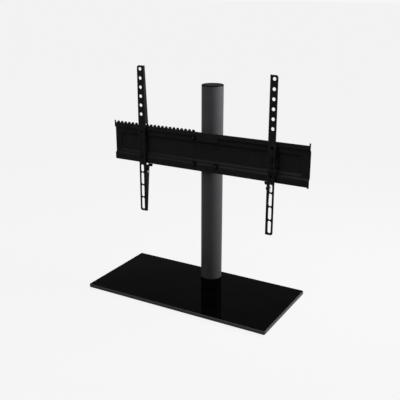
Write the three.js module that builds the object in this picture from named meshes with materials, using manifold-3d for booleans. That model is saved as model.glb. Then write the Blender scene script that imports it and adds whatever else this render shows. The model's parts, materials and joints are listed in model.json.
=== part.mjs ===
// A table-top stand for a flat screen: a glass base, a round column, and a pressed mounting rail
// clamped to the column, with two arms that hook over the rail and latch under it.
//
// Millimetres. +Z is up, +X runs along the rail to the right, -Y faces the viewer. The origin lies on
// the surface that the stand rests on, under the middle of the glass.

import * as THREE from 'three';
import { mergeVertices } from 'three/addons/utils/BufferGeometryUtils.js';
import Module from 'manifold-3d';

const wasm = await Module();
wasm.setup();

// Fits and tools
const seatGap = 0.3;            // between pieces that bear on each other
const boltHoleClearance = 0.35; // round a bolt, on the radius
const overrun = 3;              // how far a cutting shape runs past what it cuts
const weldShare = 0.001;        // points closer than this share of the seat gap are one point

// Base glass
const glassWidth = 547;
const glassDepth = 264;
const glassThickness = 10;
const glassCornerRadius = 4;
const glassChamfer = 1.2;
const columnFromRearEdge = 38;  // from the glass's rear edge to the column's axis

// Rubber feet
const footHeight = 6;
const footRadius = 11;
const footTaper = 1.5;
const footInset = 30;           // from the glass's edges to a foot's axis

// Fixing of the column
const underPlateWidth = 120;
const underPlateDepth = 62;
const underPlateThickness = 3;
const underPlateCornerRadius = 8;
const underGasketThickness = 1;
const underGasketMargin = 1;
const baseBoltCount = 3;
const baseBoltCircleRadius = 17;
const baseBoltRadius = 4;
const baseBoltHeadRadius = 7;
const baseBoltSocketRadius = 2.9;
const baseBoltSocketDepth = 1.8;
const baseBoltShort = 2;        // from the bolt's end to the top of the insert
const footInsertThickness = 12;

// Column
const columnRadius = 30;
const columnWall = 2;
const columnHeight = 558;       // from the glass to the top of the cap
const columnGasketThickness = 1;
const columnGasketWidth = 6;
const capThickness = 3;
const capEdgeRadius = 1.4;
const capSkirtLength = 14;
const capSkirtWall = 1.8;

// Sleeve between the column and the clamp
const linerClearance = 0.1;
const linerThickness = 0.6;
const linerHeight = 48;
const linerBottom = 29;         // above the rail's lower edge
const linerSplit = 5;

// Mounting rail, pressed from one sheet
const railBottomHeight = 341;   // from the floor to the rail's lower edge
const railLength = 599;
const railHeight = 108.4;
const railSheet = 2;
const upperLipHeight = 11.5;     // of the lip that the arms hook over
const lowerLipHeight = 18;
const lipStep = 4.5;            // from the rail's web forward to the lips
const lipStepRise = 4.5;
const railCornerRadius = 4;
const pocketLength = 564;
const pocketHeight = 55;
const pocketBottom = 26;        // above the rail's lower edge
const pocketDepth = 4.5;
const pocketWallRun = 5;        // how far the pocket's walls slope in over its depth
const pocketFloorRadius = 7;    // of the floor's corners

// Teeth along the left half of the rail's upper edge, and the end stops
const toothCount = 22;
const toothPitch = 12.5;
const toothHeight = 5.6;
const toothWidth = 9.6;
const toothRoundShare = 0.55;    // of a tooth's half width and height, which its curve's handles take
const firstToothInset = 1.3;    // from the rail's left end to the first tooth's middle
const endStopWidth = 3.5;
const endStopHeight = 6.2;
const endStopDrop = 2.5;        // of the stop under the rail's right end

// Clamp bolts, and the pads that they bear on
const clampBoltRadius = 3;
const clampBoltHeadAcross = 10;
const clampBoltHeadHeight = 3.2;
const clampBoltPoint = 2.5;     // the end that stands out of the nut
const washerRadius = 7;
const washerThickness = 1;
const nutAcross = 10;
const nutHeight = 5;
const lowerBoltHeight = 19;     // above the rail's lower edge
const boltRowSpacing = 73;
const upperPadWidth = 76;
const upperPadBottom = 84;      // above the rail's lower edge
const lowerPadRadius = 7.5;
const lowerPadWallRun = 1.2;    // how far a pad's walls slope out over the lip's step
const upperPadWallRun = 3.5;
const upperPadCornerRadius = 3;

// Saddle behind the column
const saddleSheet = 3;
const saddleEarFront = 17;      // behind the column's axis
const saddleEarMargin = 10;     // from a bolt's axis to the ear's edge
const saddleCornerRadius = 4;
const saddleRightTop = 73;      // above the rail's lower edge

// Arms
const armSpacing = 400;         // between the two arms' hole lines
const armSheet = 2;
const armStandOff = 7;          // from the rail's lip to the back of the arm's web
const armHoleToFlange = 12;     // from the hole line to the flange's outer face
const armHoleToEdge = 9.8;
const armBendRadius = 2.6;
const armCornerRadius = 7;
const armTopMargin = 9.7;       // above the first hole
const armBottomMargin = 5.6;    // below the last slot
const armFirstHole = 267;       // above the rail's lower edge
const armHoleRadius = 4.7;
const armHolePitch = 25;
const armHoleCount = 6;
const armLoneHoleDrop = 175;    // below the first hole
const armSlotWidth = 9.2;
const armUpperSlotsDrop = 196.5; // from the first hole to the top of the slots in front of the rail
const armFirstSlotLength = 20.5;
const armSecondSlotLength = 32;
const armUpperSlotBridge = 4.5;
const armLowerSlotsDrop = 404.4; // from the first hole to the end of the last slot
const armLowerSlotLength = 34.2;
const armThirdSlotLength = 21;
const armLowerSlotBridge = 3.3;

// The arm's flange, as depths behind the front of its web
const flangeTopDepth = 6.6;
const flangeHookDepth = 17.2;
const flangeFrontDepth = 5.5;   // in front of the rail
const flangeHeelDepth = 19.2;
const flangeFootDepth = 5.8;
const flangeCornerRadius = 1.5;
const heelNotchDrop = 5;        // from the rail's lower edge to the notch's floor
const heelNotchDepth = 15.5;
const heelShoulderDrop = 10.5;
const toothClearance = 0.5;     // above the tips of the teeth

// Latch
const latchSheet = 1.5;
const latchPivotDrop = 17;      // below the rail's lower edge
const latchPivotDepth = 7;      // behind the front of the arm's web
const latchBossRadius = 4.8;
const latchFingerHeight = 7;    // above the rail's lower edge
const latchNoseHeight = 6;
const latchNoseReach = 2.4;
const latchNoseSlope = 4;
const latchWristHeight = 6;
const latchWristRadius = 2.5;
const latchTipRadius = 1.2;
const latchBackDepth = 16.8;    // from the front of the arm's web to the latch's back edge
const thumbTabReach = 10.7;
const thumbTabDrop = 2.6;
const thumbTabHeight = 8;
const thumbTabRadius = 5;
const rivetRadius = 1.8;
const rivetHeadRadius = 3.3;
const rivetHeadHeight = 1.3;

// Latch spring, with the seat on the latch and the lug on the arm that it stands between
const springDepth = 12.6;       // behind the front of the arm's web
const springRadius = 1.8;
const springWire = 0.6;
const springTurns = 6;
const springSeatWidth = 3.4;
const springSeatReach = 5.2;    // beyond the flange's outer face
const springSeatRise = 1.25;    // above the latch's pivot
const springLugDrop = 30;       // from the rail's lower edge to the lug's upper face
const springWindowFront = 0.5;  // clearances of the seat in its window in the flange
const springWindowRear = 0.6;
const springWindowTop = 0.4;

// Smoothness, in counts
const roundSteps = 64;
const smallRoundSteps = 32;
const holeSteps = 16;
const outlineSteps = 6;
const toothSteps = 3;
const hexSides = 6;
const wireSides = 5;
const turnSteps = 8;

// Places that follow from the sizes above
const columnY = glassDepth / 2 - columnFromRearEdge;
const glassBottom = footHeight;
const glassTop = glassBottom + glassThickness;
const tubeBottom = glassTop + columnGasketThickness;
const tubeTop = glassTop + columnHeight - capThickness;
const tubeBore = columnRadius - columnWall;
const plugRadius = tubeBore - seatGap;
const underPlateTop = glassBottom - underGasketThickness;
const underPlateBottom = underPlateTop - underPlateThickness;
const footInsertTop = tubeBottom + footInsertThickness;

// In the mount, y counts from the column's axis and z from the rail's lower edge
const linerInner = columnRadius + linerClearance;
const linerOuter = linerInner + linerThickness;
const pocketRear = -(linerOuter + seatGap);
const pocketFloor = pocketRear - railSheet;
const webFront = pocketFloor - pocketDepth;
const lipFront = webFront - lipStep;
const lipRear = lipFront + railSheet;
const clampBoltX = linerOuter + clampBoltRadius + seatGap;
const upperBoltHeight = lowerBoltHeight + boltRowSpacing;
const saddleEarRear = saddleEarFront + saddleSheet;
const armRear = lipFront - armStandOff;
const armFront = armRear - armSheet;
const armTop = armFirstHole + armTopMargin;
const armBottom = armFirstHole - armLowerSlotsDrop - armBottomMargin;
const flangeInner = armSpacing / 2 - armHoleToFlange;
const flangeOuter = flangeInner + armSheet;
const flangeBack = armFront + flangeHeelDepth;
const hookTop = railHeight + toothHeight + toothClearance;
const latchOuter = flangeInner - seatGap;
const latchInner = latchOuter - latchSheet;
const latchBack = armFront + latchBackDepth;
const latchPivotY = armFront + latchPivotDepth;
const springY = armFront + springDepth;
const springSeatFront = springY - springSeatWidth / 2;
const springSeatRear = springY + springSeatWidth / 2;
const springSeatBottom = springSeatRise - latchPivotDrop;
const springSeatEnd = flangeOuter + springSeatReach;

// Materials
const blackGlass = { color: 0x050506, roughness: 0.05, metalness: 0 };
const greyPaint = { color: 0x5a5a5d, roughness: 0.38, metalness: 0.65 };
const blackPaint = { color: 0x161617, roughness: 0.5, metalness: 0.2 };
const blackPlastic = { color: 0x101011, roughness: 0.55, metalness: 0 };
const blackRubber = { color: 0x0d0d0d, roughness: 0.9, metalness: 0 };
const zincSteel = { color: 0x9a9c9f, roughness: 0.35, metalness: 0.9 };
const blackSteel = { color: 0x2a2a2c, roughness: 0.42, metalness: 0.6 };

// Closed surfaces and solids

// One point for each corner, and no triangle without area
function welded(geometry) {
  const source = geometry.clone();
  source.deleteAttribute('normal');
  source.deleteAttribute('uv');
  const merged = mergeVertices(source, seatGap * weldShare);
  const kept = [];
  for (let i = 0; i < merged.index.count; i += 3) {
    const corners = [merged.index.getX(i), merged.index.getX(i + 1), merged.index.getX(i + 2)];
    if (new Set(corners).size === corners.length) {
      kept.push(...corners);
    }
  }
  merged.setIndex(kept);
  return merged;
}

function solidOf(geometry) {
  const source = welded(geometry);
  return new wasm.Manifold(new wasm.Mesh({
    numProp: 3,
    vertProperties: new Float32Array(source.attributes.position.array),
    triVerts: new Uint32Array(source.index.array),
  }));
}

function geometryOf(solid) {
  const mesh = solid.getMesh();
  const geometry = new THREE.BufferGeometry();
  geometry.setAttribute('position', new THREE.BufferAttribute(new Float32Array(mesh.vertProperties), 3));
  geometry.setIndex(new THREE.BufferAttribute(new Uint32Array(mesh.triVerts), 1));
  return geometry;
}

function joined(first, ...others) {
  return others.reduce((whole, next) => whole.add(next), first);
}

function cutBy(solid, tools) {
  return tools.reduce((rest, tool) => rest.subtract(tool), solid);
}

// Outlines

// A closed outline through corners [u, v, radius], each one rounded by its own radius
function outlineOf(corners) {
  const shape = new THREE.Shape();
  corners.forEach(([u, v, radius = 0], i) => {
    const corner = new THREE.Vector2(u, v);
    const [backU, backV] = corners.at(i - 1);
    const [aheadU, aheadV] = corners[(i + 1) % corners.length];
    const back = new THREE.Vector2(backU, backV).sub(corner);
    const ahead = new THREE.Vector2(aheadU, aheadV).sub(corner);
    const halfAngle = Math.acos(back.dot(ahead) / (back.length() * ahead.length())) / 2;
    const reach = radius / Math.tan(halfAngle);
    const start = corner.clone().add(back.setLength(reach));
    const end = corner.clone().add(ahead.setLength(reach));
    if (i === 0) {
      shape.moveTo(start.x, start.y);
    } else {
      shape.lineTo(start.x, start.y);
    }
    if (radius > 0) {
      shape.quadraticCurveTo(corner.x, corner.y, end.x, end.y);
    }
  });
  shape.closePath();
  return shape;
}

function rectangle(left, right, bottom, top, radius = 0) {
  return outlineOf([
    [left, bottom, radius],
    [right, bottom, radius],
    [right, top, radius],
    [left, top, radius],
  ]);
}

function roundHole(u, v, radius) {
  const hole = new THREE.Path();
  hole.absarc(u, v, radius, 0, 2 * Math.PI, false);
  return hole;
}

function slotHole(u, bottom, length, width) {
  const radius = width / 2;
  const hole = new THREE.Path();
  hole.absarc(u, bottom + length - radius, radius, 0, Math.PI, false);
  hole.absarc(u, bottom + radius, radius, Math.PI, 2 * Math.PI, false);
  hole.closePath();
  return hole;
}

// Prisms: an outline drawn in one plane and pushed along the third axis

function prism(outline, length, steps) {
  return new THREE.ExtrudeGeometry(outline, { depth: length, bevelEnabled: false, curveSegments: steps });
}

// The outline's u and v are x and y
function prismAlongZ(outline, from, to, steps = outlineSteps) {
  return prism(outline, to - from, steps).translate(0, 0, from);
}

// The outline's u and v are y and z
function prismAlongX(outline, from, to, steps = outlineSteps) {
  const turn = new THREE.Matrix4().makeBasis(
    new THREE.Vector3(0, 1, 0),
    new THREE.Vector3(0, 0, 1),
    new THREE.Vector3(1, 0, 0),
  );
  return prism(outline, to - from, steps).applyMatrix4(turn).translate(from, 0, 0);
}

// The outline's u and v are x and z
function prismAlongY(outline, from, to, steps = outlineSteps) {
  const turn = new THREE.Matrix4().makeBasis(
    new THREE.Vector3(1, 0, 0),
    new THREE.Vector3(0, 0, 1),
    new THREE.Vector3(0, -1, 0),
  );
  return prism(outline, to - from, steps).applyMatrix4(turn).translate(0, to, 0);
}

function rodAlong(axis, radius, from, to, sides = holeSteps) {
  const rod = new THREE.CylinderGeometry(radius, radius, to - from, sides);
  rod.translate(0, (from + to) / 2, 0);
  if (axis === 'x') {
    rod.rotateZ(-Math.PI / 2);
  }
  if (axis === 'z') {
    rod.rotateX(Math.PI / 2);
  }
  return rod;
}

// A turned piece: a closed line of [radius, height] spun about Z
function turned(profile, sides = roundSteps) {
  const points = profile.map(([radius, height]) => new THREE.Vector2(radius, height));
  if (THREE.ShapeUtils.isClockWise(points)) {
    points.reverse();
  }
  return new THREE.LatheGeometry([...points, points[0]], sides).rotateX(Math.PI / 2);
}

// A closed surface through two rings of as many points each, the second one in front of the first
function lofted(rear, front) {
  const count = rear.length;
  const triangles = [];
  for (let i = 0; i < count; i += 1) {
    const next = (i + 1) % count;
    triangles.push(i, next, count + next, i, count + next, count + i);
  }
  for (let i = 1; i + 1 < count; i += 1) {
    triangles.push(0, i + 1, i, count, count + i, count + i + 1);
  }
  const geometry = new THREE.BufferGeometry().setFromPoints([...rear, ...front]);
  geometry.setIndex(triangles);
  return geometry;
}

// Scene

const stand = new THREE.Group();
const column = new THREE.Group();
const mount = new THREE.Group();
column.position.set(0, columnY, 0);
mount.position.set(0, columnY, railBottomHeight);
stand.add(column, mount);

function place(group, name, shape, look) {
  const geometry = shape.isBufferGeometry ? welded(shape) : geometryOf(shape);
  const mesh = new THREE.Mesh(geometry, new THREE.MeshStandardMaterial(look));
  mesh.name = name;
  group.add(mesh);
  return mesh;
}

// A piece of the mount drawn on the right, and its mirror image on the left
function placePair(name, solid, look) {
  place(mount, `right_${name}`, solid, look);
  const image = geometryOf(solid).scale(-1, 1, 1);
  image.setIndex(Array.from(image.index.array).reverse());
  place(mount, `left_${name}`, image, look);
}

// Base

const baseBoltPlaces = Array.from({ length: baseBoltCount }, (_, i) => {
  const angle = Math.PI / 2 + (i * 2 * Math.PI) / baseBoltCount;
  return [baseBoltCircleRadius * Math.cos(angle), baseBoltCircleRadius * Math.sin(angle)];
});

function baseBoltHoles(bottom, top) {
  const radius = baseBoltRadius + boltHoleClearance;
  return baseBoltPlaces.map(([x, y]) => (
    solidOf(rodAlong('z', radius, bottom - overrun, top + overrun).translate(x, y, 0))
  ));
}

function buildGlass() {
  const halfWidth = glassWidth / 2 - glassChamfer;
  const halfDepth = glassDepth / 2 - glassChamfer;
  const outline = rectangle(-halfWidth, halfWidth, -halfDepth, halfDepth, glassCornerRadius);
  const slab = new THREE.ExtrudeGeometry(outline, {
    depth: glassThickness - 2 * glassChamfer,
    bevelThickness: glassChamfer,
    bevelSize: glassChamfer,
    bevelSegments: 1,
    curveSegments: outlineSteps,
  });
  slab.translate(0, -columnY, glassBottom + glassChamfer);
  place(column, 'base_glass', cutBy(solidOf(slab), baseBoltHoles(glassBottom, glassTop)), blackGlass);
}

function buildFeet() {
  const foot = turned([
    [0, 0],
    [footRadius - footTaper, 0],
    [footRadius, footHeight / 2],
    [footRadius, footHeight],
    [0, footHeight],
  ], smallRoundSteps);
  for (const [side, x] of [['left', -1], ['right', 1]]) {
    for (const [end, y] of [['front', -1], ['rear', 1]]) {
      const mesh = place(stand, `foot_${end}_${side}`, foot, blackRubber);
      mesh.position.set(x * (glassWidth / 2 - footInset), y * (glassDepth / 2 - footInset), 0);
    }
  }
}

function buildUnderPlate() {
  const halfWidth = underPlateWidth / 2;
  const halfDepth = underPlateDepth / 2;
  const outline = rectangle(-halfWidth, halfWidth, -halfDepth, halfDepth, underPlateCornerRadius);
  const plate = solidOf(prismAlongZ(outline, underPlateBottom, underPlateTop));
  const sink = turned([
    [0, underPlateBottom - overrun],
    [baseBoltHeadRadius + boltHoleClearance, underPlateBottom - overrun],
    [baseBoltHeadRadius + boltHoleClearance, underPlateBottom],
    [baseBoltRadius + boltHoleClearance, underPlateTop],
    [baseBoltRadius + boltHoleClearance, underPlateTop + overrun],
    [0, underPlateTop + overrun],
  ], holeSteps);
  const sinks = baseBoltPlaces.map(([x, y]) => solidOf(sink.clone().translate(x, y, 0)));
  place(column, 'under_plate', cutBy(plate, sinks), blackPaint);
}

function buildUnderGasket() {
  const halfWidth = underPlateWidth / 2 - underGasketMargin;
  const halfDepth = underPlateDepth / 2 - underGasketMargin;
  const radius = underPlateCornerRadius - underGasketMargin;
  const outline = rectangle(-halfWidth, halfWidth, -halfDepth, halfDepth, radius);
  const sheet = solidOf(prismAlongZ(outline, underPlateTop, glassBottom));
  place(column, 'under_gasket', cutBy(sheet, baseBoltHoles(underPlateTop, glassBottom)), blackRubber);
}

function buildBaseBolts() {
  const top = footInsertTop - baseBoltShort;
  const bolt = solidOf(turned([
    [0, underPlateBottom],
    [baseBoltHeadRadius, underPlateBottom],
    [baseBoltRadius, underPlateTop],
    [baseBoltRadius, top],
    [0, top],
  ], holeSteps));
  const socketTop = underPlateBottom + baseBoltSocketDepth;
  const socket = rodAlong('z', baseBoltSocketRadius, underPlateBottom - overrun, socketTop, hexSides);
  const shape = bolt.subtract(solidOf(socket));
  baseBoltPlaces.forEach(([x, y], i) => {
    place(column, `base_bolt_${i + 1}`, shape, zincSteel).position.set(x, y, 0);
  });
}

// Column

function buildColumnGasket() {
  place(column, 'column_gasket', turned([
    [columnRadius - columnGasketWidth, glassTop],
    [columnRadius, glassTop],
    [columnRadius, tubeBottom],
    [columnRadius - columnGasketWidth, tubeBottom],
  ]), blackRubber);
}

function buildColumnTube() {
  place(column, 'column_tube', turned([
    [tubeBore, tubeBottom],
    [columnRadius, tubeBottom],
    [columnRadius, tubeTop],
    [tubeBore, tubeTop],
  ]), greyPaint);
}

function buildFootInsert() {
  const disc = solidOf(rodAlong('z', plugRadius, tubeBottom, footInsertTop, roundSteps));
  place(column, 'column_foot_insert', cutBy(disc, baseBoltHoles(tubeBottom, footInsertTop)), zincSteel);
}

function buildColumnCap() {
  const skirtBottom = tubeTop - capSkirtLength;
  const capTop = tubeTop + capThickness;
  const roundStart = capTop - capEdgeRadius;
  const roundMiddle = capEdgeRadius * Math.SQRT1_2;
  place(column, 'column_cap', turned([
    [0, tubeTop],
    [plugRadius - capSkirtWall, tubeTop],
    [plugRadius - capSkirtWall, skirtBottom],
    [plugRadius, skirtBottom],
    [plugRadius, tubeTop],
    [columnRadius, tubeTop],
    [columnRadius, roundStart],
    [columnRadius - capEdgeRadius + roundMiddle, roundStart + roundMiddle],
    [columnRadius - capEdgeRadius, capTop],
    [0, capTop],
  ]), blackPlastic);
}

// Rail

// The rail's pressed front seen from the end, from below its lower edge to above its upper one
const railFrontLine = [
  [lipFront, -endStopDrop - overrun],
  [lipFront, lowerLipHeight],
  [webFront, lowerLipHeight + lipStepRise],
  [webFront, railHeight - upperLipHeight - lipStepRise],
  [lipFront, railHeight - upperLipHeight],
  [lipFront, railHeight + endStopHeight + overrun],
];

// A block with sloping walls: a rectangle in the plane flat, wider by the slope in the plane wide
function slopingBlock({ left, right, bottom, top, radius, flat, wide, slope }) {
  const ring = (y) => {
    const run = Math.abs(y - flat) * slope;
    return rectangle(left - run, right + run, bottom - run, top + run, radius + run)
      .extractPoints(outlineSteps).shape
      .map((point) => new THREE.Vector3(point.x, y, point.y));
  };
  return solidOf(lofted(ring(Math.max(flat, wide)), ring(Math.min(flat, wide))));
}

function pocketBlock() {
  return slopingBlock({
    left: -pocketLength / 2 + pocketWallRun,
    right: pocketLength / 2 - pocketWallRun,
    bottom: pocketBottom + pocketWallRun,
    top: pocketBottom + pocketHeight - pocketWallRun,
    radius: pocketFloorRadius,
    flat: pocketFloor,
    wide: lipFront - overrun,
    slope: pocketWallRun / pocketDepth,
  });
}

// The wide pad above the pocket
function upperPad() {
  return slopingBlock({
    left: -upperPadWidth / 2,
    right: upperPadWidth / 2,
    bottom: upperPadBottom,
    top: railHeight,
    radius: upperPadCornerRadius,
    flat: lipFront,
    wide: pocketRear,
    slope: upperPadWallRun / lipStep,
  });
}

// A round pad about the lower clamp bolt at x
function lowerPad(x) {
  return slopingBlock({
    left: x - lowerPadRadius,
    right: x + lowerPadRadius,
    bottom: lowerBoltHeight - lowerPadRadius,
    top: lowerBoltHeight + lowerPadRadius,
    radius: lowerPadRadius - seatGap,
    flat: lipFront,
    wide: pocketRear,
    slope: lowerPadWallRun / lipStep,
  });
}

// The rail's edge: teeth on the left half, a stop above each end and one below the right end
function railOutline() {
  const end = railLength / 2;
  const stopTop = railHeight + endStopHeight;
  const toothTop = railHeight + toothHeight;
  const shoulder = railHeight + toothHeight * toothRoundShare;
  const handle = (toothWidth / 2) * toothRoundShare;
  const outline = new THREE.Shape();
  outline.moveTo(-end + railCornerRadius, 0);
  outline.lineTo(end - endStopWidth - endStopDrop, 0);
  outline.lineTo(end - endStopWidth, -endStopDrop);
  outline.lineTo(end, -endStopDrop);
  outline.lineTo(end, stopTop);
  outline.lineTo(end - endStopWidth, stopTop);
  outline.lineTo(end - endStopWidth, railHeight);
  for (let i = toothCount - 1; i > 0; i -= 1) {
    const middle = -end + firstToothInset + i * toothPitch;
    const left = middle - toothWidth / 2;
    const right = middle + toothWidth / 2;
    outline.lineTo(right, railHeight);
    outline.bezierCurveTo(right, shoulder, middle + handle, toothTop, middle, toothTop);
    outline.bezierCurveTo(middle - handle, toothTop, left, shoulder, left, railHeight);
  }
  outline.lineTo(-end + endStopWidth, railHeight);
  outline.lineTo(-end + endStopWidth, stopTop);
  outline.lineTo(-end, stopTop);
  outline.lineTo(-end, railCornerRadius);
  outline.quadraticCurveTo(-end, 0, -end + railCornerRadius, 0);
  return outline;
}

const clampBolts = [
  ['upper_left', -clampBoltX, upperBoltHeight],
  ['lower_left', -clampBoltX, lowerBoltHeight],
  ['lower_right', clampBoltX, lowerBoltHeight],
];

function clampBoltHoles() {
  const radius = clampBoltRadius + boltHoleClearance;
  return clampBolts.map(([, x, z]) => (
    solidOf(rodAlong('y', radius, lipFront - overrun, saddleEarRear + overrun).translate(x, 0, z))
  ));
}

function buildRail() {
  const end = railLength / 2 + overrun;
  const back = pocketRear + overrun;
  const [, bottom] = railFrontLine[0];
  const [, top] = railFrontLine.at(-1);
  const section = outlineOf([...railFrontLine, [back, top], [back, bottom]]);
  const form = joined(
    solidOf(prismAlongX(section, -end, end)).subtract(pocketBlock()),
    upperPad(),
    lowerPad(-clampBoltX),
    lowerPad(clampBoltX),
  );
  const sheet = form.subtract(form.translate([0, railSheet, 0]));

  const blank = solidOf(prismAlongY(railOutline(), lipFront - overrun, back, toothSteps));
  place(mount, 'mounting_rail', cutBy(sheet.intersect(blank), clampBoltHoles()), blackPaint);
}

// Clamp

function buildLiner() {
  const half = linerSplit / 2 / linerInner;
  const start = Math.PI / 2 + half;
  const end = start + 2 * (Math.PI - half);
  const section = new THREE.Shape();
  section.absarc(0, 0, linerOuter, start, end, false);
  section.absarc(0, 0, linerInner, end, start, true);
  section.closePath();
  const shape = prismAlongZ(section, linerBottom, linerBottom + linerHeight, roundSteps / 2);
  place(mount, 'clamp_liner', shape, blackPlastic);
}

function buildSaddle() {
  const inner = linerOuter + seatGap;
  const outer = inner + saddleSheet;
  const earEnd = clampBoltX + saddleEarMargin;
  const innerStart = Math.asin(saddleEarFront / inner);
  const outerStart = Math.asin(saddleEarRear / outer);
  const section = new THREE.Shape();
  section.moveTo(-earEnd, saddleEarFront);
  section.absarc(0, 0, inner, Math.PI - innerStart, innerStart, true);
  section.lineTo(earEnd, saddleEarFront);
  section.lineTo(earEnd, saddleEarRear);
  section.absarc(0, 0, outer, outerStart, Math.PI - outerStart, false);
  section.lineTo(-earEnd, saddleEarRear);
  section.closePath();

  const bottom = lowerBoltHeight - saddleEarMargin;
  const top = upperBoltHeight + saddleEarMargin;
  const rightEarTop = lowerBoltHeight + saddleEarMargin;
  const outline = outlineOf([
    [-earEnd, bottom, saddleCornerRadius],
    [earEnd, bottom, saddleCornerRadius],
    [earEnd, rightEarTop, saddleCornerRadius],
    [outer, rightEarTop + saddleEarMargin, saddleCornerRadius],
    [outer, saddleRightTop, saddleCornerRadius],
    [-saddleEarFront, top, saddleCornerRadius],
    [-earEnd, top, saddleCornerRadius],
  ]);
  const strip = solidOf(prismAlongZ(section, bottom - overrun, top + overrun, smallRoundSteps));
  const blank = solidOf(prismAlongY(outline, 0, outer + overrun));
  place(mount, 'rear_clamp', cutBy(strip.intersect(blank), clampBoltHoles()), blackPaint);
}

function hexRadius(across) {
  return across / 2 / Math.cos(Math.PI / hexSides);
}

function buildClampBolts() {
  const washerRear = lipFront - seatGap;
  const washerFront = washerRear - washerThickness;
  const headRear = washerFront - seatGap;
  const headFront = headRear - clampBoltHeadHeight;
  const nutFront = saddleEarRear + seatGap;
  const nutRear = nutFront + nutHeight;
  const hole = solidOf(rodAlong('y', clampBoltRadius + boltHoleClearance, headFront, nutRear + overrun));
  const bolt = joined(
    solidOf(rodAlong('y', hexRadius(clampBoltHeadAcross), headFront, headRear, hexSides)),
    solidOf(rodAlong('y', clampBoltRadius, (headFront + headRear) / 2, nutRear + clampBoltPoint)),
  );
  const washer = solidOf(rodAlong('y', washerRadius, washerFront, washerRear, smallRoundSteps)).subtract(hole);
  const nut = solidOf(rodAlong('y', hexRadius(nutAcross), nutFront, nutRear, hexSides)).subtract(hole);
  for (const [corner, x, z] of clampBolts) {
    place(mount, `clamp_bolt_${corner}`, bolt, blackSteel).position.set(x, 0, z);
    place(mount, `clamp_washer_${corner}`, washer, zincSteel).position.set(x, 0, z);
    place(mount, `clamp_nut_${corner}`, nut, zincSteel).position.set(x, 0, z);
  }
}

// Arms, drawn on the right

function armSection() {
  const edge = armSpacing / 2 + armHoleToEdge;
  return outlineOf([
    [flangeInner, armFront, armBendRadius],
    [edge, armFront],
    [edge, armRear],
    [flangeOuter, armRear, armBendRadius - armSheet],
    [flangeOuter, flangeBack + overrun],
    [flangeInner, flangeBack + overrun],
  ]);
}

// Seen from the side: the hook over the rail's top, and the notch that takes its lower edge
function armSideOutline() {
  const fingerFront = lipRear + seatGap;
  const fingerRear = armFront + flangeHookDepth;
  const fingerGap = (seatGap * Math.hypot(lipStep, lipStepRise)) / lipStep;
  const tip = (y) => railHeight - upperLipHeight + fingerGap - ((y - lipRear) * lipStepRise) / lipStep;
  const front = armFront - overrun;
  const throat = armFront + flangeFrontDepth;
  return outlineOf([
    [front, armBottom],
    [armFront + flangeFootDepth, armBottom, flangeCornerRadius],
    [flangeBack, -heelShoulderDrop, flangeCornerRadius],
    [armFront + heelNotchDepth, -heelNotchDrop, flangeCornerRadius],
    [throat, -heelNotchDrop, flangeCornerRadius],
    [throat, hookTop, flangeCornerRadius],
    [fingerFront, hookTop],
    [fingerFront, tip(fingerFront)],
    [fingerRear, tip(fingerRear)],
    [fingerRear, hookTop, flangeCornerRadius],
    [armFront + flangeTopDepth, armTop, flangeCornerRadius],
    [front, armTop],
  ]);
}

function armHolePaths() {
  const x = armSpacing / 2;
  const holes = [roundHole(x, armFirstHole - armLoneHoleDrop, armHoleRadius)];
  for (let i = 0; i < armHoleCount; i += 1) {
    holes.push(roundHole(x, armFirstHole - i * armHolePitch, armHoleRadius));
  }
  let top = armFirstHole - armUpperSlotsDrop;
  for (const length of [armFirstSlotLength, armSecondSlotLength]) {
    holes.push(slotHole(x, top - length, length, armSlotWidth));
    top -= length + armUpperSlotBridge;
  }
  let bottom = armFirstHole - armLowerSlotsDrop;
  for (const length of [armLowerSlotLength, armLowerSlotLength, armLowerSlotLength, armThirdSlotLength]) {
    holes.push(slotHole(x, bottom, length, armSlotWidth));
    bottom += length + armLowerSlotBridge;
  }
  return holes;
}

function armFace() {
  const edge = armSpacing / 2 + armHoleToEdge;
  const outline = outlineOf([
    [flangeInner - overrun, armBottom],
    [edge, armBottom, armCornerRadius],
    [edge, armTop, armCornerRadius],
    [flangeInner - overrun, armTop],
  ]);
  outline.holes.push(...armHolePaths());
  return solidOf(prismAlongY(outline, armFront - overrun, flangeBack + overrun, holeSteps / 2));
}

function buildArms() {
  const angle = solidOf(prismAlongZ(armSection(), armBottom - overrun, armTop + overrun));
  const side = solidOf(prismAlongX(armSideOutline(), flangeInner - overrun, armSpacing));

  const windowFront = springSeatFront - springWindowFront;
  const windowRear = springSeatRear + springWindowRear;
  const windowTop = springSeatBottom + latchSheet + springWindowTop;
  const window = rectangle(windowFront, windowRear, -springLugDrop, windowTop);
  const rivetHole = rodAlong('x', rivetRadius + boltHoleClearance, flangeInner - overrun, flangeOuter + overrun);
  rivetHole.translate(0, latchPivotY, -latchPivotDrop);
  const tools = [
    solidOf(prismAlongX(window, flangeInner - overrun, flangeOuter + overrun)),
    solidOf(rivetHole),
  ];
  const lug = rectangle(springSeatFront, springSeatRear, -springLugDrop - armSheet, -springLugDrop);
  const arm = cutBy(angle.intersect(side).intersect(armFace()), tools)
    .add(solidOf(prismAlongX(lug, flangeInner, springSeatEnd)));
  placePair('arm', arm, blackPaint);
}

// Latches, drawn on the right

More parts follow.
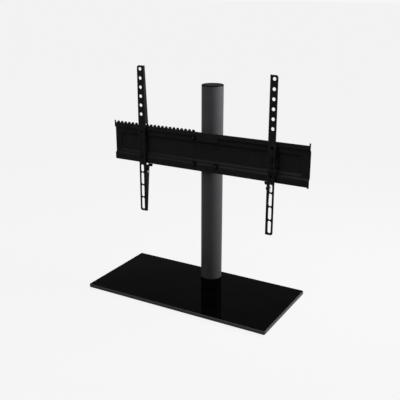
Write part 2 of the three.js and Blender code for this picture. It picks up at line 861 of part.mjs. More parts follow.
function latchOutline() {
  const bossFront = latchPivotY - latchBossRadius;
  const bossBottom = -latchPivotDrop - latchBossRadius;
  const bossTop = -latchPivotDrop + latchBossRadius;
  const noseFront = lipRear + seatGap;
  const noseRear = noseFront + latchNoseReach;
  const noseBottom = latchFingerHeight - latchNoseHeight;
  const outline = outlineOf([
    [bossFront, bossBottom, latchBossRadius],
    [springSeatFront, bossBottom, springSeatFront - latchPivotY],
    [springSeatFront, springSeatBottom],
    [latchBack, springSeatBottom],
    [latchBack, latchFingerHeight, latchTipRadius],
    [noseFront, latchFingerHeight, latchTipRadius],
    [noseFront, noseBottom, latchTipRadius],
    [noseRear, noseBottom - latchNoseSlope],
    [noseRear, bossTop + latchWristHeight, latchWristRadius],
    [latchPivotY, bossTop],
    [bossFront, bossTop, latchBossRadius],
  ]);
  outline.holes.push(roundHole(latchPivotY, -latchPivotDrop, rivetRadius + boltHoleClearance));
  return outline;
}

function thumbTab() {
  const end = latchInner - thumbTabReach;
  const bottom = -thumbTabDrop - thumbTabHeight;
  const outline = outlineOf([
    [latchOuter, -thumbTabDrop],
    [end, -thumbTabDrop],
    [end, bottom, thumbTabRadius],
    [latchOuter, bottom],
  ]);
  return solidOf(prismAlongY(outline, latchBack - latchSheet, latchBack));
}

function springSeat() {
  const top = springSeatBottom + latchSheet;
  const outline = rectangle(springSeatFront, springSeatRear, springSeatBottom, top);
  return solidOf(prismAlongX(outline, latchInner, springSeatEnd));
}

function buildLatches() {
  const plate = solidOf(prismAlongX(latchOutline(), latchInner, latchOuter));
  placePair('latch', joined(plate, thumbTab(), springSeat()), blackSteel);
}

function buildRivets() {
  const innerHead = latchInner - seatGap;
  const outerHead = flangeOuter + seatGap;
  const start = innerHead - rivetHeadHeight;
  const end = outerHead + rivetHeadHeight;
  const rivet = joined(
    solidOf(rodAlong('x', rivetRadius, (start + innerHead) / 2, (outerHead + end) / 2)),
    solidOf(rodAlong('x', rivetHeadRadius, start, innerHead)),
    solidOf(rodAlong('x', rivetHeadRadius, outerHead, end)),
  );
  placePair('latch_rivet', rivet.translate([0, latchPivotY, -latchPivotDrop]), zincSteel);
}

// A line that winds up round Z
class Coil extends THREE.Curve {
  constructor(radius, bottom, top, turns) {
    super();
    Object.assign(this, { radius, bottom, top, turns });
  }

  getPoint(t, target = new THREE.Vector3()) {
    const angle = 2 * Math.PI * this.turns * t;
    const z = this.bottom + (this.top - this.bottom) * t;
    return target.set(this.radius * Math.cos(angle), this.radius * Math.sin(angle), z);
  }
}

function buildSprings() {
  const wireRadius = springWire / 2;
  const bottom = seatGap + wireRadius - springLugDrop;
  const top = springSeatBottom - seatGap - wireRadius;
  const wire = new THREE.Shape();
  wire.absarc(0, 0, wireRadius, 0, 2 * Math.PI, false);
  const coil = new THREE.ExtrudeGeometry(wire, {
    extrudePath: new Coil(springRadius - wireRadius, bottom, top, springTurns),
    steps: springTurns * turnSteps,
    curveSegments: wireSides / 2,
  });
  coil.translate((flangeOuter + springSeatEnd) / 2, springY, 0);
  placePair('latch_spring', solidOf(coil), zincSteel);
}

buildGlass();
buildFeet();
buildUnderPlate();
buildUnderGasket();
buildBaseBolts();
buildColumnGasket();
buildColumnTube();
buildFootInsert();
buildColumnCap();
buildLiner();
buildRail();
buildSaddle();
buildClampBolts();
buildArms();
buildLatches();
buildRivets();
buildSprings();

export default stand;
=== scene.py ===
"""Looks of a table-top screen stand: glass base, round column, pressed rail and two hook-on arms.

Metres. +Z is up, +X runs along the rail to the right, -Y faces the viewer. The origin lies on the table
under the middle of the glass.
"""
import json
import math

import bpy
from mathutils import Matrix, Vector


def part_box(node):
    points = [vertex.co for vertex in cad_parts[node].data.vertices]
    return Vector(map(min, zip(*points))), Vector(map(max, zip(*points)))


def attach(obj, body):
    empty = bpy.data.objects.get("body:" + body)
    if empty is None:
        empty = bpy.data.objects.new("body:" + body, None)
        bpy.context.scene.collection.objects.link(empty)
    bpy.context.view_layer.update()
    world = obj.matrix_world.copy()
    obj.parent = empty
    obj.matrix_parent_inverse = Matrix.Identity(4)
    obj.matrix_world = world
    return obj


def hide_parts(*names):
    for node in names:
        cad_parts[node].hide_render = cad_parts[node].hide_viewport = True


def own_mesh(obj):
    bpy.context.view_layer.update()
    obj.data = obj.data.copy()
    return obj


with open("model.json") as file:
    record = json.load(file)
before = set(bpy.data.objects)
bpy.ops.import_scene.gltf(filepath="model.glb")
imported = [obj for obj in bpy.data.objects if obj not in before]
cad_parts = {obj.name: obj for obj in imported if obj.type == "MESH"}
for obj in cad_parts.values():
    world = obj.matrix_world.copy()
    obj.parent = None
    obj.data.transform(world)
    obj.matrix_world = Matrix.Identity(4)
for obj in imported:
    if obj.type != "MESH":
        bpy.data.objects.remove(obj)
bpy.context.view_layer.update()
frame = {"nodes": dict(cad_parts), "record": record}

SLOT_OF = {part["node"]: part["material_slot"] for part in frame["record"]["subparts"]}
BODY_OF = {node: body
           for body, members in frame["record"]["behaviour"]["bodies"].items()
           for node in members}


# Finishes

NOISE_LOW = 0.3          # nearly all of a noise pattern lies between these two values
NOISE_HIGH = 0.7


def new_finish(name):
    """A material with nodes, which starts with one main shader."""
    material = bpy.data.materials.new(name)
    material.use_nodes = True
    return material


def shader_of(material):
    """The material's main shader."""
    return material.node_tree.nodes["Principled BSDF"]


def grain(material, scale, detail=2.0, stretch=(1.0, 1.0, 1.0)):
    """Noise fixed to the piece, with about `scale` lumps to the metre along an unstretched direction."""
    nodes, links = material.node_tree.nodes, material.node_tree.links
    place = nodes.new("ShaderNodeTexCoord")
    mapping = nodes.new("ShaderNodeMapping")
    mapping.inputs["Scale"].default_value = stretch
    noise = nodes.new("ShaderNodeTexNoise")
    noise.inputs["Scale"].default_value = scale
    noise.inputs["Detail"].default_value = detail
    links.new(place.outputs["Object"], mapping.inputs["Vector"])
    links.new(mapping.outputs["Vector"], noise.inputs["Vector"])
    return noise.outputs["Fac"]


def tint(material, noise, dark, light):
    """Colours the surface between two tones by the noise."""
    nodes, links = material.node_tree.nodes, material.node_tree.links
    ramp = nodes.new("ShaderNodeValToRGB")
    ramp.color_ramp.elements[0].position = NOISE_LOW
    ramp.color_ramp.elements[0].color = (*dark, 1.0)
    ramp.color_ramp.elements[1].position = NOISE_HIGH
    ramp.color_ramp.elements[1].color = (*light, 1.0)
    links.new(noise, ramp.inputs["Fac"])
    links.new(ramp.outputs["Color"], shader_of(material).inputs["Base Color"])


def roughen(material, noise, low, high):
    """Varies the roughness between two values by the noise."""
    nodes, links = material.node_tree.nodes, material.node_tree.links
    change = nodes.new("ShaderNodeMapRange")
    change.inputs["From Min"].default_value = NOISE_LOW
    change.inputs["From Max"].default_value = NOISE_HIGH
    change.inputs["To Min"].default_value = low
    change.inputs["To Max"].default_value = high
    links.new(noise, change.inputs["Value"])
    links.new(change.outputs["Result"], shader_of(material).inputs["Roughness"])


def relief(material, noise, depth):
    """Raises the surface by up to `depth` metres where the noise is high."""
    nodes, links = material.node_tree.nodes, material.node_tree.links
    bump = nodes.new("ShaderNodeBump")
    bump.inputs["Strength"].default_value = 1.0
    bump.inputs["Distance"].default_value = depth
    links.new(noise, bump.inputs["Height"])
    links.new(bump.outputs["Normal"], shader_of(material).inputs["Normal"])


def black_glass():
    """Black tempered glass: deep, even, with faint wipe marks and dust."""
    glass = new_finish("glass")
    wipe = grain(glass, scale=9.0, detail=3.0, stretch=(1.0, 2.6, 1.0))
    tint(glass, wipe, dark=(0.0002, 0.0002, 0.0002), light=(0.0005, 0.0005, 0.0005))
    roughen(glass, wipe, low=0.02, high=0.05)
    relief(glass, grain(glass, scale=4.0, detail=1.0), depth=0.00001)
    shader_of(glass).inputs["IOR"].default_value = 1.0385
    return glass


def polished_edge():
    """The glass's ground and polished edge: paler than the face, with faint grinding lines. The paler tone
    is partly the clear glass's own edge and partly painted light for the light that leaves the glass through
    its edge.
    """
    edge = new_finish("polished_edge")
    lines = grain(edge, scale=300.0, stretch=(1.0, 1.0, 6.0))
    # These tones are partly painted light: the paleness stands in for light leaving the glass through its
    # edge.
    tint(edge, lines, dark=(0.026, 0.028, 0.028), light=(0.036, 0.038, 0.038))
    roughen(edge, lines, low=0.12, high=0.24)
    relief(edge, lines, depth=0.00001)
    shader_of(edge).inputs["IOR"].default_value = 1.12
    return edge


def column_paint():
    """Dark grey satin powder coat: fine orange peel over the tube."""
    paint = new_finish("column_paint")
    cloud = grain(paint, scale=26.0, detail=3.0)
    tint(paint, cloud, dark=(0.0315, 0.0315, 0.0334), light=(0.036, 0.036, 0.0379))
    roughen(paint, grain(paint, scale=900.0), low=0.36, high=0.46)
    relief(paint, grain(paint, scale=1400.0), depth=0.00002)
    shader_of(paint).inputs["Specular IOR Level"].default_value = 0.04
    return paint


def black_steel():
    """Black satin powder coat on pressed steel: fine texture, slightly paler where it has been handled."""
    steel = new_finish("black_steel")
    cloud = grain(steel, scale=34.0, detail=4.0)
    tint(steel, cloud, dark=(0.0068, 0.0068, 0.0071), light=(0.0088, 0.0088, 0.0091))
    roughen(steel, grain(steel, scale=1100.0), low=0.36, high=0.5)
    relief(steel, grain(steel, scale=1600.0), depth=0.00003)
    shader_of(steel).inputs["Specular IOR Level"].default_value = 0.02
    return steel


def dark_fastener():
    """Blackened steel of fasteners, latches and springs: thin oxide, a little paler where it is rubbed."""
    oxide = new_finish("dark_fastener")
    rub = grain(oxide, scale=260.0, detail=4.0)
    tint(oxide, rub, dark=(0.0016, 0.0016, 0.0018), light=(0.0035, 0.0035, 0.0037))
    roughen(oxide, rub, low=0.32, high=0.48)
    relief(oxide, grain(oxide, scale=2200.0), depth=0.00002)
    shader_of(oxide).inputs["Specular IOR Level"].default_value = 0.02
    return oxide


def painted_highlight_steel():
    """The sunk faces of the bolt heads: a paler colour painted on as a highlight for the light they catch.
    """
    steel = new_finish("painted_highlight_steel")
    # A noise mottles the tone of this painted highlight, which is paler than the oxide around it.
    rub = grain(steel, scale=900.0, detail=4.0)
    tint(steel, rub, dark=(0.006, 0.006, 0.0063), light=(0.014, 0.014, 0.0144))
    roughen(steel, rub, low=0.3, high=0.46)
    relief(steel, grain(steel, scale=2600.0), depth=0.00002)
    shader_of(steel).inputs["Specular IOR Level"].default_value = 0.05
    return steel


def zinc_steel():
    """Bright zinc plate: faintly drawn, with cloudy passivation."""
    zinc = new_finish("zinc_steel")
    cloud = grain(zinc, scale=320.0, detail=4.0)
    tint(zinc, cloud, dark=(0.3, 0.31, 0.32), light=(0.46, 0.46, 0.45))
    roughen(zinc, cloud, low=0.28, high=0.42)
    relief(zinc, grain(zinc, scale=3000.0, stretch=(1.0, 1.0, 0.2)), depth=0.00001)
    shader_of(zinc).inputs["Metallic"].default_value = 1.0
    return zinc


def black_plastic():
    """Moulded black plastic with a fine spark-eroded grain."""
    plastic = new_finish("black_plastic")
    grit = grain(plastic, scale=1500.0, detail=3.0)
    tint(plastic, grit, dark=(0.003, 0.003, 0.0033), light=(0.0046, 0.0046, 0.005))
    roughen(plastic, grit, low=0.45, high=0.6)
    relief(plastic, grit, depth=0.00004)
    shader_of(plastic).inputs["Specular IOR Level"].default_value = 0.004
    return plastic


def black_rubber():
    """Matt black rubber of the feet and gaskets, with dust in its skin."""
    rubber = new_finish("rubber")
    dust = grain(rubber, scale=420.0, detail=4.0)
    tint(rubber, dust, dark=(0.009, 0.009, 0.009), light=(0.016, 0.016, 0.0155))
    roughen(rubber, dust, low=0.78, high=0.92)
    relief(rubber, grain(rubber, scale=1800.0), depth=0.00005)
    shader_of(rubber).inputs["Specular IOR Level"].default_value = 0.2
    return rubber


FINISHES = {"glass": black_glass(), "column_paint": column_paint(), "black_steel": black_steel(),
            "dark_fastener": dark_fastener(), "zinc_steel": zinc_steel(), "black_plastic": black_plastic(),
            "rubber": black_rubber()}
EDGE_FINISH = polished_edge()
# A paler finish painted on the bolt heads' sunk faces as a highlight.
PAINTED_HIGHLIGHT_FINISH = painted_highlight_steel()


def dress(piece, finish):
    """Gives a piece one finish all over."""
    piece.data.materials.clear()
    piece.data.materials.append(FINISHES[finish])


for node, solid in frame["nodes"].items():
    dress(solid, SLOT_OF[node])


# Working on one piece at a time

ALONG = 0.9              # a unit direction lies along an axis when its share there is above this
ACROSS = 0.1             # and lies across the axis when its share there is below this
TOUCHING = 0.00001       # a middle this near to a face's plane lies in that plane
SAME_PLACE = 0.000002    # points nearer than this become one
SHARP_ANGLE = 30.0       # degrees from which an edge is eased
FLAT_ANGLE = 35.0        # degrees up to which an edge is shaded smooth
WIRE_ANGLE = 50.0        # and up to which it is on round wire
ROUND_SIDES = 64
SMALL_ROUND_SIDES = 32
COLUMN_SIDES = 160


def stop_editing():
    """Goes back from the points of a piece to whole objects."""
    if bpy.context.mode == "EDIT_MESH":
        bpy.ops.object.mode_set(mode="OBJECT")


def take_up(piece):
    """Makes one piece the only one that is picked, and ends any editing."""
    stop_editing()
    bpy.ops.object.select_all(action="DESELECT")
    piece.select_set(True)
    bpy.context.view_layer.objects.active = piece


def settle(name):
    """Names the shape just added and puts its place into its mesh."""
    piece = bpy.context.object
    piece.name = name
    piece.data.name = name
    bpy.ops.object.transform_apply(location=True, rotation=True, scale=True)
    return piece


def add_round(name, middle, radius, start, end, axis="Z", sides=ROUND_SIDES, end_radius=None):
    """Adds a bar, or a cone where the end's radius differs, round a line through `middle` along an axis."""
    place = Vector(middle)
    place["XYZ".index(axis)] = (start + end) / 2
    turn = {"X": (0.0, math.pi / 2, 0.0), "Y": (-math.pi / 2, 0.0, 0.0), "Z": (0.0, 0.0, 0.0)}[axis]
    tip = radius if end_radius is None else end_radius
    stop_editing()
    bpy.ops.mesh.primitive_cone_add(vertices=sides, radius1=radius, radius2=tip, depth=end - start,
                                    end_fill_type="NGON", location=place, rotation=turn)
    return settle(name)


def drop_picks(piece, kind):
    """Leaves nothing of a piece picked, so that faces or edges can be picked next."""
    take_up(piece)
    bpy.ops.object.mode_set(mode="EDIT")
    bpy.ops.mesh.select_mode(type=kind)
    bpy.ops.mesh.select_all(action="DESELECT")
    bpy.ops.object.mode_set(mode="OBJECT")


def pick_faces(piece, test):
    """Opens a piece for editing with the faces picked whose middle and normal pass the test."""
    drop_picks(piece, "FACE")
    for face in piece.data.polygons:
        face.select = test(face.center, face.normal)
    bpy.ops.object.mode_set(mode="EDIT")


def pick_edges(piece, test):
    """Opens a piece for editing with the edges picked whose middle and direction pass the test."""
    drop_picks(piece, "EDGE")
    points = piece.data.vertices
    for edge in piece.data.edges:
        start, end = (points[index].co for index in edge.vertices)
        edge.select = test((start + end) / 2, (end - start).normalized())
    bpy.ops.object.mode_set(mode="EDIT")


def pull(x=0.0, y=0.0, z=0.0):
    """Extrudes the picked faces by a distance."""
    bpy.ops.mesh.extrude_region_move(TRANSFORM_OT_translate={"value": (x, y, z)})


def bore_through(wall):
    """Opens a bar, whose two end faces are picked, into a tube with this wall, and ends the editing."""
    bpy.ops.mesh.inset(thickness=wall, use_individual=True)
    bpy.ops.mesh.bridge_edge_loops()
    bpy.ops.object.mode_set(mode="OBJECT")


def cut_with(piece, tool, how):
    """Cuts a piece with a second shape, joins them or keeps what they share. The second shape goes."""
    take_up(piece)
    change = piece.modifiers.new("cut", "BOOLEAN")
    change.operation = how
    change.solver = "EXACT"
    change.object = tool
    bpy.ops.object.modifier_apply(modifier=change.name)
    bpy.data.objects.remove(tool)


def ease_edges(piece, width):
    """Rounds every sharp edge of a piece by a small width."""
    take_up(piece)
    change = piece.modifiers.new("ease", "BEVEL")
    change.width = width
    change.segments = 2
    change.limit_method = "ANGLE"
    change.angle_limit = math.radians(SHARP_ANGLE)
    bpy.ops.object.modifier_apply(modifier=change.name)


def close_piece(piece, angle=FLAT_ANGLE):
    """Ends the editing of a piece and shades its rounded edges smooth while its flats stay flat."""
    take_up(piece)
    bpy.ops.object.shade_smooth_by_angle(angle=math.radians(angle))
    change = piece.modifiers.new("flats", "WEIGHTED_NORMAL")
    change.keep_sharp = True
    change.weight = 100
    bpy.ops.object.modifier_apply(modifier=change.name)


def copied(piece, name, shift):
    """A copy of a finished piece with its own mesh, moved by `shift`."""
    take_up(piece)
    bpy.ops.object.duplicate()
    twin = bpy.context.object
    twin.name = name
    twin.data.name = name
    bpy.ops.object.mode_set(mode="EDIT")
    bpy.ops.mesh.select_all(action="SELECT")
    bpy.ops.transform.translate(value=shift)
    bpy.ops.object.mode_set(mode="OBJECT")
    return twin


def hand_over(piece, node):
    """Puts a piece in a CAD node's place, on its body and in its finish."""
    dress(piece, SLOT_OF[node])
    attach(piece, BODY_OF[node])
    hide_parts(node)


def middle_of(node):
    """The middle of a CAD node's box."""
    low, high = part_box(node)
    return (low + high) / 2


# Base

GLASS_CORNER = 0.004     # radius of the plate's corners, seen from above
GLASS_CHAMFER = 0.0012
GLASS_EASE = 0.00015     # on the edges of the chamfers and the holes
GLASS_BORE = 0.00435     # radius of the holes for the base bolts
GLASS_DRILL_REACH = 0.003
SOLE_TAPER = 0.0015      # how much smaller a foot's radius is at its sole
SOLE_RIM = 0.0035        # width of the ring that a foot stands on
SOLE_HOLLOW = 0.0008     # depth of the hollow inside that ring
SOLE_ROUND = 0.0004
TUBE_WALL = 0.002
TUBE_EASE = 0.0003
CAP_PLAY = 0.0003        # between the cap's skirt and the tube
CAP_SKIRT_WALL = 0.0018
CAP_ROUND = 0.0014       # on the lid's upper rim


def build_glass():
    """The glass plate: rounded corners, ground and polished chamfers, and its three bolt holes."""
    low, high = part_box("base_glass")
    bpy.ops.mesh.primitive_cube_add(size=1.0, location=(low + high) / 2, scale=high - low)
    plate = settle("glass_plate")
    pick_edges(plate, lambda place, along: abs(along.z) > ALONG)
    bpy.ops.mesh.bevel(offset=GLASS_CORNER, segments=8, affect="EDGES")
    pick_edges(plate, lambda place, along: abs(along.z) < ACROSS)
    bpy.ops.mesh.bevel(offset=GLASS_CHAMFER, segments=1, affect="EDGES")
    for bolt in ("base_bolt_1", "base_bolt_2", "base_bolt_3"):
        drill = add_round("drill", middle_of(bolt), GLASS_BORE, low.z - GLASS_DRILL_REACH,
                          high.z + GLASS_DRILL_REACH, sides=SMALL_ROUND_SIDES)
        cut_with(plate, drill, "DIFFERENCE")
    ease_edges(plate, GLASS_EASE)
    close_piece(plate)
    hand_over(plate, "base_glass")
    plate.data.materials.append(EDGE_FINISH)
    for face in plate.data.polygons:
        face.material_index = 1 if abs(face.normal.z) < ALONG else 0


def build_feet():
    """Four bonded rubber feet: tapered pads with a rounded rim and a hollow in the sole."""
    low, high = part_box("foot_front_left")
    middle = (low + high) / 2
    radius = (high.x - low.x) / 2
    foot = add_round("rubber_foot_front_left", middle, radius - SOLE_TAPER, low.z, high.z, end_radius=radius)
    pick_faces(foot, lambda place, facing: facing.z < -ALONG)
    bpy.ops.mesh.inset(thickness=SOLE_RIM)
    pull(z=SOLE_HOLLOW)
    hollow_top = low.z + SOLE_HOLLOW
    pick_edges(foot, lambda place, along: place.z < hollow_top + TOUCHING and abs(along.z) < ACROSS)
    bpy.ops.mesh.bevel(offset=SOLE_ROUND, segments=3, affect="EDGES")
    close_piece(foot)
    for corner in ("front_right", "rear_left", "rear_right"):
        twin = copied(foot, f"rubber_foot_{corner}", middle_of(f"foot_{corner}") - middle)
        hand_over(twin, f"foot_{corner}")
    hand_over(foot, "foot_front_left")


def build_column():
    """The round tube, with its wall open at both ends and its rims eased."""
    low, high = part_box("column_tube")
    radius = (high.x - low.x) / 2
    tube = add_round("round_column", (low + high) / 2, radius, low.z, high.z, sides=COLUMN_SIDES)
    pick_faces(tube, lambda place, facing: abs(facing.z) > ALONG)
    bore_through(TUBE_WALL)
    ease_edges(tube, TUBE_EASE)
    close_piece(tube)
    hand_over(tube, "column_tube")


def build_cap():
    """The moulded cap: a lid with a rounded rim, and a hollow skirt that plugs into the tube."""
    low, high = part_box("column_cap")
    radius = (high.x - low.x) / 2
    tube_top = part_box("column_tube")[1].z
    lid = add_round("column_lid", (low + high) / 2, radius, tube_top, high.z, sides=COLUMN_SIDES)
    pick_faces(lid, lambda place, facing: facing.z < -ALONG)
    bpy.ops.mesh.inset(thickness=TUBE_WALL + CAP_PLAY)
    pull(z=low.z - tube_top)
    bpy.ops.mesh.inset(thickness=CAP_SKIRT_WALL)
    pull(z=tube_top - low.z)
    pick_edges(lid, lambda place, along: place.z > high.z - TOUCHING)
    bpy.ops.mesh.bevel(offset=CAP_ROUND, segments=6, affect="EDGES")
    close_piece(lid)
    hand_over(lid, "column_cap")


# Clamp fasteners

HEX_FLATS = 0.01         # across the flats of bolt heads and nuts
HEX_CORNER = HEX_FLATS / 2 / math.cos(math.pi / 6)
HEX_CHAMFER_START = 0.0047           # radius at which the corners begin to slope back
HEX_CHAMFER_SLOPE = math.tan(math.radians(30.0))
HEAD_HEIGHT = 0.0032
HEAD_RIM = 0.0015        # width of the ring round the sunk middle of a head's face
HEAD_SINK = 0.0002
SHANK_OVERLAP = 0.001    # how far the shank's shape reaches into the head
BOLT_RADIUS = 0.003
THREAD_DEPTH = 0.00045
THREAD_PITCH = 0.001
THREAD_TURNS = 24
WASHER_PLAY = 0.00035    # between a washer and its bolt
WASHER_EASE = 0.0002
NUT_PLAY = 0.0001        # between a nut and its bolt
NUT_DRILL_REACH = 0.001


def hand_over_three(piece, kind, made):
    """Copies the upper left fastener to the clamp's two other places, and hands all three over."""
    first = f"clamp_{kind}_upper_left"
    fasteners = {}
    for corner in ("lower_left", "lower_right"):
        node = f"clamp_{kind}_{corner}"
        fasteners[node] = copied(piece, f"{node}_{made}", middle_of(node) - middle_of(first))
    fasteners[first] = piece
    for node, fastener in fasteners.items():
        hand_over(fastener, node)
    return fasteners


def paint_head_highlight(bolt, face_sunk_to):
    """Paints a highlight on the sunk middle of a bolt head's face by giving it the paler painted-highlight
    finish.
    """
    bolt.data.materials.append(PAINTED_HIGHLIGHT_FINISH)
    for face in bolt.data.polygons:
        sunk = abs(face.center.y - face_sunk_to) < TOUCHING
        face.material_index = 1 if face.normal.y < -ALONG and sunk else 0


def build_clamp_bolts():
    """Hexagon bolts with chamfered heads, plain shanks, and threads over the last stretch."""
    low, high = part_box("clamp_bolt_upper_left")
    middle = (low + high) / 2
    head_rear = low.y + HEAD_HEIGHT
    bolt = add_round("clamp_bolt_upper_left_turned", middle, HEX_CORNER, low.y, head_rear, "Y", sides=6)
    wide = HEX_CHAMFER_START + HEAD_HEIGHT / HEX_CHAMFER_SLOPE
    cone = add_round("cone", middle, HEX_CHAMFER_START, low.y, head_rear, "Y", end_radius=wide)
    cut_with(bolt, cone, "INTERSECT")
    thread_start = high.y - THREAD_TURNS * THREAD_PITCH
    shank = add_round("shank", middle, BOLT_RADIUS, head_rear - SHANK_OVERLAP, thread_start, "Y",
                      sides=SMALL_ROUND_SIDES)
    pick_faces(shank, lambda place, facing: facing.y > ALONG)
    root = (BOLT_RADIUS - THREAD_DEPTH) / BOLT_RADIUS
    for turn in range(THREAD_TURNS):
        for change in (root, 1.0 / root):
            pull(y=THREAD_PITCH / 2)
            bpy.ops.transform.resize(value=(change, 1.0, change), center_override=middle)
    cut_with(bolt, shank, "UNION")
    pick_faces(bolt, lambda place, facing: facing.y < -ALONG and place.y < low.y + TOUCHING)
    bpy.ops.mesh.inset(thickness=HEAD_RIM)
    pull(y=HEAD_SINK)
    close_piece(bolt)
    # The sunk middle of each head gets a painted highlight.
    for node, fastener in hand_over_three(bolt, "bolt", "turned").items():
        paint_head_highlight(fastener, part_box(node)[0].y + HEAD_SINK)


def build_clamp_washers():
    """Flat washers with a bored middle and eased rims."""
    low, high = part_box("clamp_washer_upper_left")
    middle = (low + high) / 2
    radius = (high.x - low.x) / 2
    washer = add_round("clamp_washer_upper_left_pressed", middle, radius, low.y, high.y, "Y")
    pick_faces(washer, lambda place, facing: abs(facing.y) > ALONG)
    bore_through(radius - BOLT_RADIUS - WASHER_PLAY)
    ease_edges(washer, WASHER_EASE)
    close_piece(washer)
    hand_over_three(washer, "washer", "pressed")


def build_clamp_nuts():
    """Hexagon nuts, chamfered on both faces and bored for the bolt."""
    low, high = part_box("clamp_nut_upper_left")
    middle = (low + high) / 2
    nut = add_round("clamp_nut_upper_left_turned", middle, HEX_CORNER, low.y, high.y, "Y", sides=6)
    wide = HEX_CHAMFER_START + (high.y - low.y) / HEX_CHAMFER_SLOPE
    for front, rear in ((HEX_CHAMFER_START, wide), (wide, HEX_CHAMFER_START)):
        cone = add_round("cone", middle, front, low.y, high.y, "Y", end_radius=rear)
        cut_with(nut, cone, "INTERSECT")
    drill = add_round("drill", middle, BOLT_RADIUS + NUT_PLAY, low.y - NUT_DRILL_REACH,
                      high.y + NUT_DRILL_REACH, "Y", sides=SMALL_ROUND_SIDES)
    cut_with(nut, drill, "DIFFERENCE")
    close_piece(nut)
    hand_over_three(nut, "nut", "turned")


# Latch rivets and springs

RIVET_SIDES = 40
RIVET_HEAD = 0.0013      # thickness of each head
RIVET_SHANK = 0.0018     # radius between the heads
RIVET_DOME = 0.001
SPRING_TURNS = 6
SPRING_WIRE = 0.0003     # radius of the wire
SPRING_WIRE_SIDES = 10
SPRING_TURN_STEPS = 28


def build_rivets():
    """Rivets with a domed head at each end."""
    for side in ("left", "right"):
        node = f"{side}_latch_rivet"
        low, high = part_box(node)
        middle = (low + high) / 2
        radius = (high.y - low.y) / 2
        widen = radius / RIVET_SHANK
        rivet = add_round(node + "_set", middle, radius, low.x, low.x + RIVET_HEAD, "X", sides=RIVET_SIDES)
        pick_faces(rivet, lambda place, facing: facing.x > ALONG)
        bpy.ops.mesh.inset(thickness=radius - RIVET_SHANK)
        pull(x=high.x - low.x - 2 * RIVET_HEAD)
        pull()
        bpy.ops.transform.resize(value=(1.0, widen, widen), center_override=middle)
        pull(x=RIVET_HEAD)
        pick_edges(rivet, lambda place, along: place.x < low.x + TOUCHING or place.x > high.x - TOUCHING)
        bpy.ops.mesh.bevel(offset=RIVET_DOME, segments=5, affect="EDGES")
        close_piece(rivet)
        hand_over(rivet, node)


def build_springs():
    """Coil springs under the latches, wound at their rest length. In the stand they shorten as the latches
    swing; nothing here shortens them.
    """
    for side in ("left", "right"):
        node = f"{side}_latch_spring"
        low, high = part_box(node)
        middle = (low + high) / 2
        coil_radius = (high.x - low.x) / 2 - SPRING_WIRE
        bpy.ops.mesh.primitive_circle_add(vertices=SPRING_WIRE_SIDES, radius=SPRING_WIRE,
                                          location=(coil_radius, 0.0, 0.0), rotation=(math.pi / 2, 0.0, 0.0))
        spring = settle(node + "_wound")
        wind = spring.modifiers.new("wind", "SCREW")
        wind.axis = "Z"
        wind.angle = 2 * math.pi
        wind.iterations = SPRING_TURNS
        wind.screw_offset = (high.z - low.z - 2 * SPRING_WIRE) / SPRING_TURNS
        wind.steps = SPRING_TURN_STEPS
        wind.render_steps = SPRING_TURN_STEPS
        bpy.ops.object.modifier_apply(modifier=wind.name)
        bpy.ops.object.mode_set(mode="EDIT")
        bpy.ops.mesh.select_all(action="SELECT")
        bpy.ops.mesh.remove_doubles(threshold=SAME_PLACE)
        bpy.ops.mesh.fill_holes(sides=0)
        bpy.ops.mesh.select_all(action="SELECT")
        bpy.ops.mesh.normals_make_consistent(inside=False)
        bpy.ops.transform.translate(value=(middle.x, middle.y, low.z + SPRING_WIRE))
        close_piece(spring, WIRE_ANGLE)
        hand_over(spring, node)
        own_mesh(spring)


# Pressed steel

MOUNT_EASE = 0.0003      # on the sheared edges of the rail and the saddle
ARM_EASE = 0.00025
LATCH_EASE = 0.0002
ONE_FLAT_ANGLE = 0.5     # degrees between faces that belong to one flat


def build_pressed(node, name, ease):
    """A pressed piece: the CAD node's own shape with its sheared edges eased."""
    piece = bpy.data.objects.new(name, frame["nodes"][node].data.copy())
    bpy.context.scene.collection.objects.link(piece)
    take_up(piece)
    bpy.ops.object.mode_set(mode="EDIT")
    bpy.ops.mesh.select_all(action="SELECT")
    bpy.ops.mesh.remove_doubles(threshold=SAME_PLACE)
    bpy.ops.mesh.dissolve_limited(angle_limit=math.radians(ONE_FLAT_ANGLE))
    bpy.ops.object.mode_set(mode="OBJECT")
    ease_edges(piece, ease)
    close_piece(piece)
    hand_over(piece, node)


build_glass()
build_feet()
build_column()
build_cap()
build_clamp_bolts()
build_clamp_washers()
build_clamp_nuts()
build_rivets()
build_springs()
build_pressed("mounting_rail", "pressed_rail", MOUNT_EASE)
build_pressed("rear_clamp", "pressed_saddle", MOUNT_EASE)
for side in ("left", "right"):
    build_pressed(f"{side}_arm", f"{side}_pressed_arm", ARM_EASE)
    build_pressed(f"{side}_latch", f"{side}_pressed_latch", LATCH_EASE)


# Studio

PALE = 0.9216            # tone of the backdrop
FLOOR_SIZE = 60.0
FLOOR_GREY = 0.3         # colour of the floor's lit and shaded share
FLOOR_GLOW = 0.933       # tone of its glow, before that share is mixed in
GLOW_SHARE = 0.955
ROOM_LIGHT = 0.04
COLUMN_MIDDLE = (0.0, 0.09, 0.4)
STAND_MIDDLE = (0.0, 0.0, 0.35)
CAMERA_AZIMUTH = math.radians(29.944)
CAMERA_ELEVATION = math.radians(18.266)
CAMERA_DISTANCE = 1.88138
CAMERA_TARGET = Vector((-0.04854, 0.094, 0.24021))
CAMERA_SENSOR = 36.0     # millimetres, as is the lens
CAMERA_LENS = 59.014
CAMERA_SHIFT = 0.0076


def even_grey(tone):
    """A colour with the same value of red, green and blue."""
    return (tone, tone, tone, 1.0)


def seen_directly(nodes, links):
    """One for what the camera sees, in gloss or through glass too, and nothing for the light that falls."""
    rays = nodes.new("ShaderNodeLightPath")
    seen = nodes.new("ShaderNodeMath")
    seen.operation = "MAXIMUM"
    also = nodes.new("ShaderNodeMath")
    also.operation = "MAXIMUM"
    links.new(rays.outputs["Is Camera Ray"], seen.inputs[0])
    links.new(rays.outputs["Is Glossy Ray"], seen.inputs[1])
    links.new(seen.outputs["Value"], also.inputs[0])
    links.new(rays.outputs["Is Transmission Ray"], also.inputs[1])
    return also.outputs["Value"]


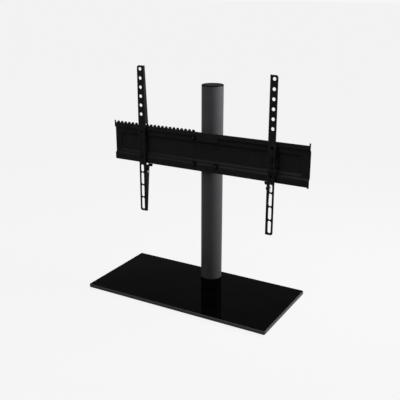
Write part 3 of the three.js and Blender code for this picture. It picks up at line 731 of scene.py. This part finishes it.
def lay_floor():
    """A pale floor that glows evenly to the camera and still takes the stand's soft shadow."""
    bpy.ops.object.select_all(action="DESELECT")
    bpy.ops.mesh.primitive_plane_add(size=FLOOR_SIZE, location=(0.0, 0.0, 0.0))
    floor = bpy.context.object
    floor.name = "studio_floor"
    material = new_finish("studio_floor")
    nodes, links = material.node_tree.nodes, material.node_tree.links
    shader = shader_of(material)
    shader.inputs["Base Color"].default_value = even_grey(FLOOR_GREY)
    shader.inputs["Roughness"].default_value = 1.0
    shader.inputs["Specular IOR Level"].default_value = 0.0
    glow = nodes.new("ShaderNodeEmission")
    glow.inputs["Color"].default_value = even_grey(FLOOR_GLOW)
    mix = nodes.new("ShaderNodeMixShader")
    share = nodes.new("ShaderNodeMath")
    share.operation = "MULTIPLY"
    share.inputs[1].default_value = GLOW_SHARE
    links.new(seen_directly(nodes, links), share.inputs[0])
    links.new(share.outputs["Value"], mix.inputs["Fac"])
    links.new(shader.outputs["BSDF"], mix.inputs[1])
    links.new(glow.outputs["Emission"], mix.inputs[2])
    links.new(mix.outputs["Shader"], nodes["Material Output"].inputs["Surface"])
    floor.data.materials.append(material)


def light_world():
    """A dim even room for the light that falls on the stand, and the pale tone for what is seen of it."""
    world = bpy.data.worlds.new("studio")
    world.use_nodes = True
    nodes, links = world.node_tree.nodes, world.node_tree.links
    room = nodes["Background"]
    room.inputs["Color"].default_value = even_grey(1.0)
    room.inputs["Strength"].default_value = ROOM_LIGHT
    backdrop = nodes.new("ShaderNodeBackground")
    backdrop.inputs["Color"].default_value = even_grey(PALE)
    mix = nodes.new("ShaderNodeMixShader")
    links.new(seen_directly(nodes, links), mix.inputs["Fac"])
    links.new(room.outputs["Background"], mix.inputs[1])
    links.new(backdrop.outputs["Background"], mix.inputs[2])
    links.new(mix.outputs["Shader"], nodes["World Output"].inputs["Surface"])
    bpy.context.scene.world = world


def hang_softbox(name, place, aim, side, watts):
    """A square lamp with this side, turned towards a point of the stand."""
    bpy.ops.object.light_add(type="AREA", location=place)
    lamp = bpy.context.object
    lamp.name = name
    lamp.rotation_euler = (Vector(aim) - Vector(place)).to_track_quat("-Z", "Y").to_euler()
    lamp.data.shape = "SQUARE"
    lamp.data.size = side
    lamp.data.energy = watts


def set_camera():
    """The photograph's viewpoint and framing."""
    reach = math.cos(CAMERA_ELEVATION)
    back = Vector((math.sin(CAMERA_AZIMUTH) * reach, -math.cos(CAMERA_AZIMUTH) * reach,
                   math.sin(CAMERA_ELEVATION)))
    bpy.ops.object.camera_add(location=CAMERA_TARGET + CAMERA_DISTANCE * back)
    camera = bpy.context.object
    camera.rotation_euler = (-back).to_track_quat("-Z", "Y").to_euler()
    camera.data.sensor_width = CAMERA_SENSOR
    camera.data.lens = CAMERA_LENS
    camera.data.shift_x = CAMERA_SHIFT
    bpy.context.scene.camera = camera


lay_floor()
light_world()
hang_softbox("key_softbox", place=(0.75, 0.45, 1.0), aim=COLUMN_MIDDLE, side=0.5, watts=45.0)
hang_softbox("top_softbox", place=(-0.3, -0.5, 2.0), aim=STAND_MIDDLE, side=0.9, watts=24.0)
hang_softbox("front_softbox", place=(-0.35, -1.7, 1.6), aim=STAND_MIDDLE, side=0.3, watts=17.0)
set_camera()
bpy.context.scene.view_settings.view_transform = "Standard"
